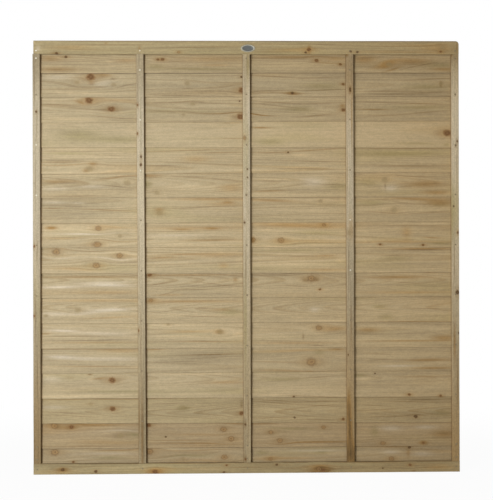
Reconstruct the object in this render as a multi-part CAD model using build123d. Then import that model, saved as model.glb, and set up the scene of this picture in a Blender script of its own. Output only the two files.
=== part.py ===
from build123d import *
import math
import os

# Lap fence panel: tilted lap boards nailed between a front and a back frame of battens and rails.
# Millimetres. Z is up, X runs along the panel, and the front faces -Y.
# Origin: middle of the underside of the panel.

# Panel
panel_width = 1828.0
panel_height = 1855.0

# Lap boards, counted from the top
board_count = 17
board_thickness = 5.5
board_arris = 0.8
board_end_inset = 3.0  # board ends stop short of the panel's sides
lap_overlap = 22.0  # how far each board covers the one below
lap_clearance = 0.1
top_board_drop = 8.0  # top edge of the highest board, below the panel's top
bottom_board_lift = 1.0  # lower edge of the lowest board, above the ground
board_rises = (  # lower edges above their even places, at the left and right end, as sawn
    (-1.0, 3.0),
    (3.0, 8.0),
    (0.0, 8.5),
    (3.5, 0.5),
    (-4.0, 2.5),
    (1.5, 3.5),
    (-1.0, 3.0),
    (3.5, 0.5),
    (-1.5, -1.5),
    (0.5, 1.5),
    (-1.5, -0.5),
    (-1.5, -1.0),
    (-1.0, 4.0),
    (-1.0, -1.0),
    (0.0, -4.5),
    (-1.0, 1.0),
    (0.0, 0.0),
)

# Battens, counted from the left, front and back alike
batten_count = 5
batten_width = 31.0
frame_thickness = 16.0  # battens and rails are flush, so they share it
batten_arris = 1.0
inner_batten_shifts = (-3.5, -0.5, -5.0)  # off their even places, as nailed
inner_batten_leans = (7.0, 0.0, 1.0)  # foot to the right of the head, as nailed
seat_clearance = 0.1  # between the frame and the boards that bear on it

# Rails, across the width at the top and at the foot
top_rail_height = 58.0
bottom_rail_height = 46.0
rail_arris = 1.0
top_rail_round = 6.0  # eased outer edge along the top
top_corner_radius = 16.0  # the right-hand end of the top rails is rounded off
top_rail_inset = 4.0  # the left-hand end of the top rails stops short of the outer battens' sides

# Square-shank nails, driven from the front
shank_side = 2.6
nail_head_radius = 3.3
nail_head_sides = 12  # flats close enough to a circle at this size
nail_head_thickness = 1.1
nail_point_length = 4.0
nail_point_side = 0.4  # the point is cut off blunt
nail_cover = 4.5  # wood left behind the point
nail_clearance = 0.05
nail_tip_room = 0.4
end_nail_offset = 18.0  # batten-end nails, from the rail
top_rail_nail_height = 14.0  # above the top rail's lower edge

# Oval name plate, left bare
plate_length = 62.0
plate_width = 33.0
plate_thickness = 2.4
plate_rim_bevel = 0.9
plate_field_length = 47.0
plate_field_width = 24.0
plate_field_depth = 0.9
plate_offset = 6.5  # to the right of the panel's middle
plate_drop = 33.4  # its middle, below the panel's top

# Worked-out sizes
lap_pitch = (panel_height - top_board_drop - bottom_board_lift - lap_overlap) / board_count
board_width = lap_pitch + lap_overlap
board_length = panel_width - 2 * board_end_inset
board_tilt = math.asin((board_thickness + lap_clearance) / lap_pitch)
board_depth = board_thickness * math.cos(board_tilt) + board_width * math.sin(board_tilt)
lowest_edge_room = -min(min(rises) for rises in board_rises) * math.sin(board_tilt)
frame_inside = board_depth / 2 + lowest_edge_room + seat_clearance  # Y of the frame's inner faces
frame_outside = frame_inside + frame_thickness  # Y of its outer faces
frame_middle = (frame_inside + frame_outside) / 2
batten_foot = bottom_rail_height
batten_head = panel_height - top_rail_height
batten_length = batten_head - batten_foot
batten_spacing = (panel_width - batten_width) / (batten_count - 1)
nail_length = 2 * frame_outside - nail_cover


def even_edge_height(number):
    """Height of a board's lower front edge, were it sawn straight. Board 1 is the highest."""
    return bottom_board_lift + (board_count - number) * lap_pitch


def lap_middle_height(number, x):
    """Middle of the part where a board covers the one below."""
    left_rise, right_rise = board_rises[number - 1]
    rise = left_rise + (right_rise - left_rise) * (x / board_length + 0.5)
    return even_edge_height(number) + (rise + lap_overlap) / 2


def inner_batten_value(values, number):
    """The outer battens are plumb and in their places, the inner ones a little off."""
    inner = number - 2
    return values[inner] if 0 <= inner < len(values) else 0.0


def batten_x(number, height):
    """X of a batten's centre line at a height."""
    even_place = (number - (batten_count + 1) / 2) * batten_spacing
    shift = inner_batten_value(inner_batten_shifts, number)
    lean = inner_batten_value(inner_batten_leans, number)
    from_middle = height - (batten_foot + batten_head) / 2
    return even_place + shift - lean * from_middle / batten_length


# Where the nails go: (x, z) of each

def batten_nail_places():
    """Odd battens are nailed at the even laps and at both ends, even battens at the odd laps."""
    places = []
    for batten in range(1, batten_count + 1):
        heights = [
            lap_middle_height(lap, batten_x(batten, even_edge_height(lap)))
            for lap in range(1, board_count)
            if (lap + batten) % 2 == 1
        ]
        if batten % 2 == 1:
            heights.append(batten_head - end_nail_offset)
            heights.append(batten_foot + end_nail_offset)
        places += [(batten_x(batten, height), height) for height in heights]
    return places


def rail_nail_places():
    """One nail above and below each batten, apart from where the name plate sits."""
    top_height = batten_head + top_rail_nail_height
    foot_height = bottom_rail_height / 2
    clear_of_plate = plate_length / 2 + nail_head_radius
    places = []
    for batten in range(1, batten_count + 1):
        top_x = batten_x(batten, batten_head)
        if abs(top_x - plate_offset) > clear_of_plate:
            places.append((top_x, top_height))
        places.append((batten_x(batten, batten_foot), foot_height))
    return places


# Nails and the holes they fill

def driven_at(x, z):
    """Plane on the frame's front face, looking into the wood."""
    return Plane(origin=(x, -frame_outside, z), x_dir=(1, 0, 0), z_dir=(0, 1, 0))


def nail(x, z):
    """Flat head, square shank, four-sided point."""
    face = driven_at(x, z)
    shoulder = nail_length - nail_point_length
    shank_section = Rectangle(shank_side, shank_side)
    point_section = Rectangle(nail_point_side, nail_point_side)
    head = extrude(face * RegularPolygon(nail_head_radius, nail_head_sides), -nail_head_thickness)
    shank = extrude(face * shank_section, shoulder)
    point = loft([face.offset(shoulder) * shank_section, face.offset(nail_length) * point_section])
    return head + shank + point


def nail_hole(x, z):
    side = shank_side + 2 * nail_clearance
    return extrude(driven_at(x, z) * Rectangle(side, side), nail_length + nail_tip_room)


def with_nail_holes(piece, places):
    """Cut the holes of the nails that pass through this piece."""
    box = piece.bounding_box()
    holes = [
        nail_hole(x, z)
        for x, z in places
        if box.min.X < x < box.max.X and box.min.Z < z < box.max.Z
    ]
    return piece - holes if holes else piece


# Wooden pieces

def lap_board(number):
    """One sawn board with eased edges. Its lower edge comes forward, its upper edge goes back."""
    face = Plane(
        origin=(0, -board_depth / 2, even_edge_height(number)),
        x_dir=(1, 0, 0),
        z_dir=(0, -math.cos(board_tilt), math.sin(board_tilt)),
    )
    left_rise, right_rise = board_rises[number - 1]
    right = board_length / 2
    corners = [(-right, left_rise), (right, right_rise), (right, board_width), (-right, board_width)]
    board = extrude(face * Polygon(*corners, align=None), -board_thickness)
    long_edges = board.edges().filter_by(lambda edge: edge.length > board_length / 2)
    return chamfer(long_edges, board_arris)


# Frame pieces: side is -1 at the front and 1 at the back

def batten(number, side):
    """Upright batten with its two outer edges eased."""
    section = Rectangle(batten_width, frame_thickness)
    section = chamfer(section.vertices().filter_by(lambda corner: corner.Y * side > 0), batten_arris)
    foot = Pos(batten_x(number, batten_foot), side * frame_middle, batten_foot)
    lean = batten_x(number, batten_head) - batten_x(number, batten_foot)
    along = Vector(lean, 0, batten_length)
    return extrude(foot * section, along.length, dir=along)


def rail(height, foot, side, top_round, left_inset):
    """Its outer upper edge is rounded and its outer lower edge is eased."""
    section = Rectangle(frame_thickness, height)
    lower, upper = section.vertices().filter_by(lambda corner: corner.X * side > 0).sort_by(Axis.Y)
    section = fillet(upper, top_round)
    section = chamfer(section.vertices().sort_by_distance(lower)[0], rail_arris)
    left_end = Plane.YZ.offset(left_inset - panel_width / 2)
    place = left_end * Pos(side * frame_middle, foot + height / 2)
    return extrude(place * section, panel_width - left_inset)


def top_rail(side):
    """The right-hand end is rounded off in the panel's plane."""
    piece = rail(top_rail_height, batten_head, side, top_rail_round, top_rail_inset)
    radius = top_corner_radius
    arc_centre = Pos(panel_width / 2 - radius, side * frame_middle, panel_height - radius)
    square = Box(radius, frame_thickness, radius, align=(Align.MIN, Align.CENTER, Align.MIN))
    disc = Rot(90, 0, 0) * Cylinder(radius, frame_thickness)
    return piece - arc_centre * (square - disc)


def bottom_rail(side):
    return rail(bottom_rail_height, 0.0, side, rail_arris, 0.0)


# Name plate on the front top rail

def name_plate():
    """Oval plate with a broad bevelled rim round a sunk bare field."""
    place = (plate_offset, -frame_outside, panel_height - plate_drop)
    face = Plane(origin=place, x_dir=(1, 0, 0), z_dir=(0, -1, 0))
    plate = extrude(face * Ellipse(plate_length / 2, plate_width / 2), plate_thickness)
    front = plate.faces().sort_by(Axis.Y)[0]
    plate = chamfer(front.edges(), plate_rim_bevel)
    top = face.offset(plate_thickness)
    field = Ellipse(plate_field_length / 2, plate_field_width / 2)
    return plate - extrude(top * field, -plate_field_depth)


# Write every piece to its own file

def build():
    batten_nails = batten_nail_places()
    rail_nails = rail_nail_places()
    places = batten_nails + rail_nails
    pieces = {}
    for number in range(1, board_count + 1):
        pieces[f"lap_board_{number:02d}"] = with_nail_holes(lap_board(number), places)
    for name, side in (("front", -1), ("back", 1)):
        for number in range(1, batten_count + 1):
            pieces[f"{name}_batten_{number}"] = with_nail_holes(batten(number, side), places)
        pieces[f"{name}_top_rail"] = with_nail_holes(top_rail(side), places)
        pieces[f"{name}_bottom_rail"] = with_nail_holes(bottom_rail(side), places)
    pieces["batten_nails"] = Compound(children=[nail(x, z) for x, z in batten_nails])
    pieces["rail_nails"] = Compound(children=[nail(x, z) for x, z in rail_nails])
    pieces["name_plate"] = name_plate()
    return pieces


os.makedirs("parts", exist_ok=True)
for node, shape in build().items():
    export_step(shape, f"parts/{node}.step")
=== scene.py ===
import math

import bmesh
import bpy
import numpy as np
from mathutils import Matrix, Vector

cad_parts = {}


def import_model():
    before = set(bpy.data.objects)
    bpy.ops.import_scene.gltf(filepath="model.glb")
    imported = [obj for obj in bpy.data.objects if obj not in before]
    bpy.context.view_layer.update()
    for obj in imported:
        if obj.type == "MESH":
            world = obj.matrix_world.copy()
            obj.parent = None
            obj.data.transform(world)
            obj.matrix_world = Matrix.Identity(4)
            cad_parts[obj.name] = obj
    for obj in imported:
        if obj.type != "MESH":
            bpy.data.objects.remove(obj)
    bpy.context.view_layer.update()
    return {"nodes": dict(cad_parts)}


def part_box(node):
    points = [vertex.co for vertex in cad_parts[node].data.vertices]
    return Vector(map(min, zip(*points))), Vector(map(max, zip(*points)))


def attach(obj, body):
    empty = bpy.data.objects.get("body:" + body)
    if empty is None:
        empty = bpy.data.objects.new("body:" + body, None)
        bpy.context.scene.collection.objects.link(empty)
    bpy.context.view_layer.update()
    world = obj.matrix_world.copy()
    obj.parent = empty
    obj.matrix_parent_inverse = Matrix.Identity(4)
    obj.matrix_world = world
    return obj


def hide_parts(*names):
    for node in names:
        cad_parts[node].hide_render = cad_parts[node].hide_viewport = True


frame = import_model()

# Lap fence panel in pressure-treated softwood. Metres. The front faces -Y and X runs along the panel.
# Knots and streaks are placed in millimetres, x and z as seen from the front.


# Shader maths: a Wire is a socket, and working with it adds nodes

def mathsOperator(operation, swapped=False):
    def apply(self, other):
        first, second = (other, self) if swapped else (self, other)
        return self.graph.maths(operation, first, second)
    return apply


class Wire:
    def __init__(self, graph, socket):
        self.graph = graph
        self.socket = socket

    __add__ = mathsOperator("ADD")
    __radd__ = mathsOperator("ADD", swapped=True)
    __sub__ = mathsOperator("SUBTRACT")
    __rsub__ = mathsOperator("SUBTRACT", swapped=True)
    __mul__ = mathsOperator("MULTIPLY")
    __rmul__ = mathsOperator("MULTIPLY", swapped=True)
    __truediv__ = mathsOperator("DIVIDE")
    __rtruediv__ = mathsOperator("DIVIDE", swapped=True)
    __pow__ = mathsOperator("POWER")
    __rpow__ = mathsOperator("POWER", swapped=True)

    def side(self, name):  # another output of the same node
        return Wire(self.graph, self.socket.node.outputs[name])


class Graph:
    # the nodes of one material, or of the world
    def __init__(self, owner):
        owner.use_nodes = True
        self.owner = owner
        self.tree = owner.node_tree
        self.tree.nodes.clear()

    def node(self, kind, settings=None, sockets=None, out=0):
        made = self.tree.nodes.new(kind)
        for name, value in (settings or {}).items():
            setattr(made, name, value)
        for name, value in (sockets or {}).items():
            if isinstance(value, Wire):
                self.tree.links.new(value.socket, made.inputs[name])
            else:
                made.inputs[name].default_value = value
        return Wire(self, made.outputs[out])

    def maths(self, operation, *values, clamp=False):
        settings = {"operation": operation, "use_clamp": clamp}
        return self.node("ShaderNodeMath", settings, dict(enumerate(values)))

    def between(self, value, low, high):  # 0 at low, 1 at high, eased
        settings = {"interpolation_type": "SMOOTHSTEP"}
        return self.node("ShaderNodeMapRange", settings, {"Value": value, "From Min": low, "From Max": high})

    def mix(self, share, under, over):
        return self.node("ShaderNodeMix", {"data_type": "RGBA"}, {0: share, 6: under, 7: over}, out=2)

    def tint(self, amount, under, over):  # an amount that may stray past 0 or 1
        return self.mix(self.maths("ADD", amount, 0.0, clamp=True), under, over)

    def brighten(self, colour, amount):
        return self.node("ShaderNodeVectorMath", {"operation": "SCALE"}, {0: colour, "Scale": amount})

    def length(self, place):
        return self.node("ShaderNodeVectorMath", {"operation": "LENGTH"}, {0: place}, out="Value")

    def place(self):
        return self.node("ShaderNodeTexCoord", out="Object")

    def mapping(self, kind, place, **sockets):
        sockets = {"Vector": place, **{name.title(): value for name, value in sockets.items()}}
        return self.node("ShaderNodeMapping", {"vector_type": kind}, sockets)

    def noise(self, place, cells, detail=2.0, roughness=0.5, shift=0.0):
        # cells per metre along the grain and across it
        place = self.mapping("POINT", place, scale=(*cells, cells[-1])[:3], location=(shift, 0.0, 0.0))
        sockets = {"Vector": place, "Scale": 1.0, "Detail": detail, "Roughness": roughness}
        return self.node("ShaderNodeTexNoise", None, sockets)

    def away(self, place, at, size, turn=0.0):  # distance from a place, 1 at the rim of an ellipse of that size
        turned, scale = (0.0, 0.0, turn), (*size, 1.0)
        return self.length(self.mapping("TEXTURE", place, location=(*at, 0.0), rotation=turned, scale=scale))

    def glow(self, place, at, size, turn=0.0):  # 1 at a place, fading outwards
        away = self.away(place, at, size, turn)
        return math.exp(-1.0) ** (away * away)

    def bump(self, height, distance, strength):
        return self.node("ShaderNodeBump", None, {"Strength": strength, "Distance": distance, "Height": height})

    def finish(self, colour, roughness, normal=None, metallic=0.0, specular=0.5, coat=0.0):
        sockets = {"Base Color": colour, "Roughness": roughness, "Metallic": metallic}
        sockets.update({"Specular IOR Level": specular, "Coat Weight": coat})
        if normal:
            sockets["Normal"] = normal
        self.output("ShaderNodeOutputMaterial", self.node("ShaderNodeBsdfPrincipled", None, sockets))
        return self.owner

    def output(self, kind, surface):
        made = self.tree.nodes.new(kind)
        self.tree.links.new(surface.socket, made.inputs["Surface"])


def paint(red, green, blue):
    # a colour as a paint chart gives it, 0 to 255
    channels = [channel / 255 for channel in (red, green, blue)]
    linear = [c / 12.92 if c <= 0.04045 else ((c + 0.055) / 1.055) ** 2.4 for c in channels]
    return (*linear, 1.0)


# Sawn timber

timberTones = {
    "late": paint(150, 126, 84),
    "warm": paint(176, 140, 86),
    "green": paint(156, 145, 98),
    # painted sheen: pale light glancing off the wood
    "chalk": paint(200, 188, 166),
    # painted shade: the dark brown beside the battens
    "dirt": paint(122, 86, 42),
}

# noise in the wood: cells per metre along and across the grain, detail, roughness, and shift of its own
timberNoise = {
    "ragged": ((90.0, 150.0), 2.0, 0.5, 0.0),
    "wander": ((1.1, 5.0), 2.0, 0.5, 0.0),
    "broad": ((1.3, 46.0), 3.0, 0.6, 3.0),
    "fine": ((6.0, 190.0), 3.0, 0.6, 9.0),
    "mottle": ((45.0, 120.0), 2.0, 0.6, 11.0),
    "cloud": ((2.2, 11.0), 2.0, 0.5, 5.0),
    "tint": ((1.6, 14.0), 1.0, 0.5, 17.0),
    "hair": ((40.0, 1500.0), 2.0, 0.5, 0.0),
    "speck": ((190.0, 300.0), 2.0, 0.7, 0.0),
}

# what boards, battens and rails have in common
timberLook = {
    "tone": 1.0,
    "warm": 0.2,  # share of warm and green clouds
    "green": 0.4,
    "warmRight": 0.24,  # more of them towards the panel's right-hand side
    "greenRight": 0.0,
    "late": 0.5,  # how much the late wood of each ring shows
    "broad": 0.6,  # strength of each noise
    "fine": 0.5,
    "cloud": 0.24,
    "mottle": 0.3,
    "speck": 0.5,
    "sawPitch": 180.0,
    "sawDepth": 0.3,
    "bump": 0.0005,
}

knotKinds = {
    # tones of the knot and its rim, how much shows, how soft its edge is, how far it bends the grain,
    # warmth and darkness of the wood round it
    "brown": (paint(104, 72, 42), paint(134, 98, 60), 0.9, 0.35, 0.9, 0.45, 0.14),
    "dark": (paint(80, 58, 34), paint(112, 84, 52), 0.9, 0.3, 0.8, 0.25, 0.14),
    "ring": (paint(164, 130, 84), paint(110, 80, 46), 0.65, 0.45, 0.9, 0.35, 0.08),
    "faint": (paint(150, 134, 96), paint(152, 132, 92), 0.5, 0.5, 0.8, 0.1, 0.06),
    "pin": (paint(90, 68, 44), paint(96, 72, 46), 0.85, 0.3, 0.5, 0.1, 0.05),
}

knotReach = {"pull": (5.5, 1.9), "halo": (3.0, 1.3), "knot": (1.12, 0.92)}  # along and across, in knot sizes

streakKinds = {
    # lightness, warmth, greenness and painted sheen in the middle of the streak
    "pale": (0.12, 0.0, 0.0, 0.0),
    "bright": (0.22, 0.05, 0.0, 0.0),
    # a painted sheen, pale and greyish
    "chalk": (0.08, 0.0, 0.0, 0.45),
    "dark": (-0.26, 0.28, 0.0, 0.0),
    "brown": (-0.18, 0.55, 0.0, 0.0),
    "tan": (-0.01, 0.4, 0.0, 0.0),
    "olive": (-0.06, 0.0, 0.5, 0.0),
    "stain": (-0.27, 0.9, 0.0, 0.0),
    "shaded": (-0.12, 0.0, 0.0, 0.0),
    "lit": (0.09, 0.0, 0.0, 0.0),
    "foot": (-0.28, 0.25, 0.3, 0.0),
    "head": (-0.16, 0.2, 0.2, 0.0),
}


def marksOf(*tables):
    # knots as (kind, x, z, size), streaks as (kind, x, z, reach, half height), with a rise where they slope
    return [(kind, *mark) for table in tables for kind, marks in table.items() for mark in marks]


def grainAxes(middle, along, across):
    # the grain's own axes: along, across and out of the face
    along, across = Vector(along).normalized(), Vector(across)
    across = (across - along * across.dot(along)).normalized()
    turn = Matrix((along, across, along.cross(across))).transposed().to_euler()
    return {"middle": Vector(middle), "along": along, "across": across, "turn": turn}


def onGrain(axes, x, z):
    # a place on the panel, as (along, across) from the middle of the piece
    away = Vector((x, axes["middle"].y, z)) - axes["middle"]
    return away.dot(axes["along"]), away.dot(axes["across"])


def timber(node, axes, look, knots, streaks):
    g = Graph(bpy.data.materials.new(f"{camel(node)}Timber"))
    place = g.place()
    panelX = g.node("ShaderNodeSeparateXYZ", None, {0: place})
    grain = g.mapping("TEXTURE", place, location=axes["middle"], rotation=axes["turn"])
    along = g.node("ShaderNodeSeparateXYZ", None, {0: grain})
    across, out = along.side("Y"), along.side("Z")
    shift = look["seed"] * 7.31

    def noise(name, place):
        cells, detail, roughness, ownShift = timberNoise[name]
        return g.noise(place, cells, detail, roughness, shift + ownShift)

    # the grain parts round each knot
    parted, halo, shade, nearest = across, 0.0, 0.0, {}
    for kind, x, z, size in knots:
        at, size = onGrain(axes, x / 1000, z / 1000), size / 1000
        reach = {name: (size * a, size * b) for name, (a, b) in knotReach.items()}
        *_, pull, warmth, darkness = knotKinds[kind]
        parted = parted - (across - at[1]) * (g.glow(grain, at, reach["pull"]) * pull)
        close = g.glow(grain, at, reach["halo"])
        halo, shade = halo + close * warmth, shade + close * darkness
        away = g.away(grain, at, reach["knot"])
        nearest[kind] = g.maths("MINIMUM", nearest[kind], away) if kind in nearest else away

    # growth rings, cut by the saw at some distance from the heart
    bent = g.node("ShaderNodeCombineXYZ", None, {"X": along, "Y": parted, "Z": out})
    fromHeart = parted - look["heart"][0] + (noise("wander", bent) - 0.5) * look["wander"]
    deep = look["heart"][1] - out
    radius = g.maths("SQRT", fromHeart * fromHeart + deep * deep) + along * look["taper"]
    ring = radius / look["ring"] + shift
    turn = g.maths("FRACT", ring)
    strength = g.node("ShaderNodeTexWhiteNoise", {"noise_dimensions": "1D"}, {"W": g.maths("FLOOR", ring)})
    late = g.between(turn, 0.25, 0.86) * g.between(turn, 1.0, 0.9) * (strength * 0.75 + 0.25)

    # fibres and clouds that follow the rings, then the listed streaks and stains
    cloud, tint = noise("cloud", bent), noise("tint", bent)
    toned = (cloud - 0.5) * look["cloud"] - shade
    for name in ("broad", "fine", "mottle"):
        toned = toned + (noise(name, bent) - 0.5) * look[name]
    rightwards = g.between(panelX, -0.6, 0.95)
    tinted = {
        "green": g.between(tint, 0.46, 0.2) * look["green"] + rightwards * look["greenRight"],
        "warm": g.between(tint, 0.56, 0.86) * look["warm"] + rightwards * look["warmRight"] + halo,
        "chalk": 0.0,
    }
    # among these streaks are painted sheen, painted light and painted shade
    for kind, x, z, reach, height, *rise in streaks:
        size, slope = (reach / 1000, height / 1000), sum(rise) / 100
        mark = g.glow(bent, onGrain(axes, x / 1000, z / 1000), size, slope)
        lightness, *tints = streakKinds[kind]
        toned = toned + mark * lightness
        for name, amount in zip(("warm", "green", "chalk"), tints):
            tinted[name] = tinted[name] + mark * amount if amount else tinted[name]

    colour = g.mix(late * look["late"], look["colour"], timberTones["late"])
    for name, amount in tinted.items():
        colour = g.tint(amount, colour, timberTones[name])
    if "lip" in look:
        # painted shade under the edge of the piece that laps over this one
        toned = toned - lipDirt(g, look, cloud, g.maths("SIGN", out) * across - along * look["lip"][1])
        # painted shade beside the battens
        colour = shadeBeside(g, look, panelX, colour)
    colour = g.brighten(colour, (toned + 1.0) * look["tone"])

    ragged = noise("ragged", grain)
    for kind, away in nearest.items():
        heart, rim, show, soft, *_ = knotKinds[kind]
        edge = away + (ragged - 0.5) * 1.1
        inside = g.between(edge, 1.0 + soft, 1.0 - soft)
        rings = g.between(g.maths("SINE", edge * 19.0), -0.2, 1.0) * 0.3
        pith = g.between(edge, 0.36, 0.12) * 0.7
        inner = g.tint(g.between(edge, 0.5, 0.92) + rings + pith, heart, rim)
        colour = g.mix(inside * show, colour, inner)

    # saw marks, fibres and raised late wood
    sawn = g.noise(grain, (look["sawPitch"], 6.0), 1.0, shift=shift)
    speck = noise("speck", grain)
    colour = g.brighten(colour, (speck - 0.5) * look["speck"] + 1.0)
    height = (noise("hair", bent) + speck) * 0.5 + late * 0.4 + sawn * look["sawDepth"]
    return g.finish(colour, 0.86 - late * 0.12, g.bump(height, look["bump"], 0.6), specular=0.3)


def lipDirt(g, look, cloud, under):
    # painted shade in the corner under the piece that laps over this one
    patchy = g.between(cloud, 0.25, 0.75) * 0.6 + 0.4
    return g.between(under, look["lip"][0] - 0.005, look["lip"][0]) * patchy * look["lipDirt"]


def shadeBeside(g, look, panelX, colour):
    # painted shade along both sides of each batten
    for (left, right), dirt in zip(look["between"], look["besideShade"]):
        leftOf = g.between(panelX, left - look["besideLeft"], left) * g.between(panelX, right, left)
        rightOf = g.between(panelX, right + look["besideRight"], right) * g.between(panelX, left, right)
        colour = g.tint(leftOf * 0.45 + rightOf * dirt, colour, timberTones["dirt"])
    return colour


# Meshes: a section swept along a piece, pressed inwards a little as sawn wood is

def unevenness(seed, first, second):
    # smooth noise from 0 to 1, over two arrays measured in cells
    grid = np.random.default_rng(seed).random((64, 64))
    i, j = np.floor(first).astype(int), np.floor(second).astype(int)
    a, b = first - i, second - j
    a, b = a * a * (3 - 2 * a), b * b * (3 - 2 * b)
    low = grid[i % 64, j % 64] * (1 - a) + grid[(i + 1) % 64, j % 64] * a
    high = grid[i % 64, (j + 1) % 64] * (1 - a) + grid[(i + 1) % 64, (j + 1) % 64] * a
    return low * (1 - b) + high * b


def rows(low, high, step, margin):
    # even rows, with one more close to each end
    count = max(2, round((high - low - 2 * margin) / step) + 1)
    return np.concatenate(([low], np.linspace(low + margin, high - margin, count), [high]))


endRow = {"section": 0.0012, "length": 0.002}  # how close those rows are


def slab(width, depth, arris, step, backArris=None):
    # outline of a board's section: up the front, down the back; the edges are eased
    backArris = arris if backArris is None else backArris
    margin = endRow["section"]
    front, back = [rows(-width / 2 + ease, width / 2 - ease, step, margin) for ease in (arris, backArris)]
    count = max(len(front), len(back))
    front, back = [
        np.interp(np.linspace(0, 1, count), np.linspace(0, 1, len(face)), face) for face in (front, back)
    ]
    points = [(-width / 2, depth / 2 - arris)] + [(across, depth / 2) for across in front]
    points += [(width / 2, depth / 2 - arris), (width / 2, -depth / 2 + backArris)]
    points += [(across, -depth / 2) for across in back[::-1]] + [(-width / 2, -depth / 2 + backArris)]
    return np.array(points)


def inwardOf(outline):
    # inward direction at each point of an outline
    before, after = np.roll(outline, 1, axis=0), np.roll(outline, -1, axis=0)
    tangent = (after - before) / np.linalg.norm(after - before, axis=1)[:, None]
    inward = np.stack([-tangent[:, 1], tangent[:, 0]], axis=1)
    facing = np.sign((inward * (outline.mean(axis=0) - outline)).sum(axis=1))
    return inward * np.where(facing == 0, 1, facing)[:, None]


def lengthwise(stations, outline):
    # along, across and out of each point of a sweep
    along, across = np.meshgrid(stations, outline[:, 0], indexing="ij")
    return along, across, np.broadcast_to(outline[:, 1], along.shape)


def roughened(places, outline, shape, seed):
    # hollows left by the saw, coarse and fine; the face on the boards stays flat
    along, across, out = places
    inward = inwardOf(outline)
    (coarseAlong, coarseAcross), (fineAlong, fineAcross) = shape["cells"]
    press = unevenness(seed, along * coarseAlong + 20, across * coarseAcross + 9) * shape["hollow"]
    fine = unevenness(seed + 1, along * fineAlong + 90, across * fineAcross + 9) * shape["hollow"]
    press = (press + fine * 0.4) * (out > out.min() + 0.001)
    return across + inward[:, 0] * press, out + inward[:, 1] * press


squareCorners = ((-1, -1), (1, -1), (1, 1), (-1, 1))


def band(one, two, count):
    # faces between two rings of points
    return [(one + i, one + (i + 1) % count, two + (i + 1) % count, two + i) for i in range(count)]


def sweep(node, sections, material):
    # sections is an array: station, point of the outline, (x, y, z)
    stations, count = sections.shape[:2]
    last = (stations - 1) * count
    faces = [face for start in range(0, last, count) for face in band(start, start + count, count)]
    for start, ahead in ((0, False), (last, True)):
        for i in range(count // 2 - 1):
            cap = (start + i, start + count - 1 - i, start + count - 2 - i, start + i + 1)
            faces.append(cap[::-1] if ahead else cap)
    dress(node, sections.reshape(-1, 3), faces, [material])


def camel(node):
    # the piece's name, from its CAD node's
    first, *rest = node.split("_")
    return first + "".join(word.title() for word in rest)


def dress(node, points, faces, materials, materialOfFace=None, sharpAngle=50.0):
    # the piece stands for its CAD node and moves with the panel
    mesh = bpy.data.meshes.new(camel(node))
    mesh.from_pydata([tuple(point) for point in points], [], faces)
    for material in materials:
        mesh.materials.append(material)
    mesh.polygons.foreach_set("use_smooth", [True] * len(mesh.polygons))
    if materialOfFace is not None:
        mesh.polygons.foreach_set("material_index", materialOfFace)
    mesh.set_sharp_from_angle(angle=math.radians(sharpAngle))
    mesh.update()
    piece = bpy.data.objects.new(camel(node), mesh)
    bpy.context.scene.collection.objects.link(piece)
    made = bmesh.new()
    made.from_mesh(mesh)
    bmesh.ops.recalc_face_normals(made, faces=made.faces)
    made.to_mesh(mesh)
    made.free()
    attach(piece, "root")
    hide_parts(node)


# Lap boards, counted from the top

boardShape = {
    "count": 17,
    "thickness": 0.0055,
    "arris": 0.0008,
    "clearance": 0.0001,
    "step": 0.0065,  # rows across
    "stride": 0.0095,  # rows along
    "cup": 0.0004,  # hollows pressed into the faces
    "edgeWander": 0.0007,
    "endWander": 0.0006,
    "cells": {"cup": (2.3, 22), "edge": 4.1, "end": 30},  # of each in a metre
}

boardLook = {
    **timberLook,
    "colour": paint(187, 171, 138),
    "green": 0.35,
    "warmRight": 0.29,
    "greenRight": 0.04,
    "broad": 0.56,
    "fine": 0.38,
    "heart": (0.0, 0.045),  # of the log, from the middle of the board's face
    "wander": 0.05,
    "taper": 0.012,
    "ring": 0.0052,
    "sawPitch": 160.0,
    "sawDepth": 0.12,
    "bump": 0.0004,
    # share of painted shade under the edge above
    "lipDirt": 0.22,
    # painted shade beside the battens: how far it reaches left and right, and its share right of each batten
    "besideLeft": 0.005,
    "besideRight": 0.009,
    "besideShade": (0.75, 0.7, 0.6, 0.25, 0.2),  # right of each batten
}

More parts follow.
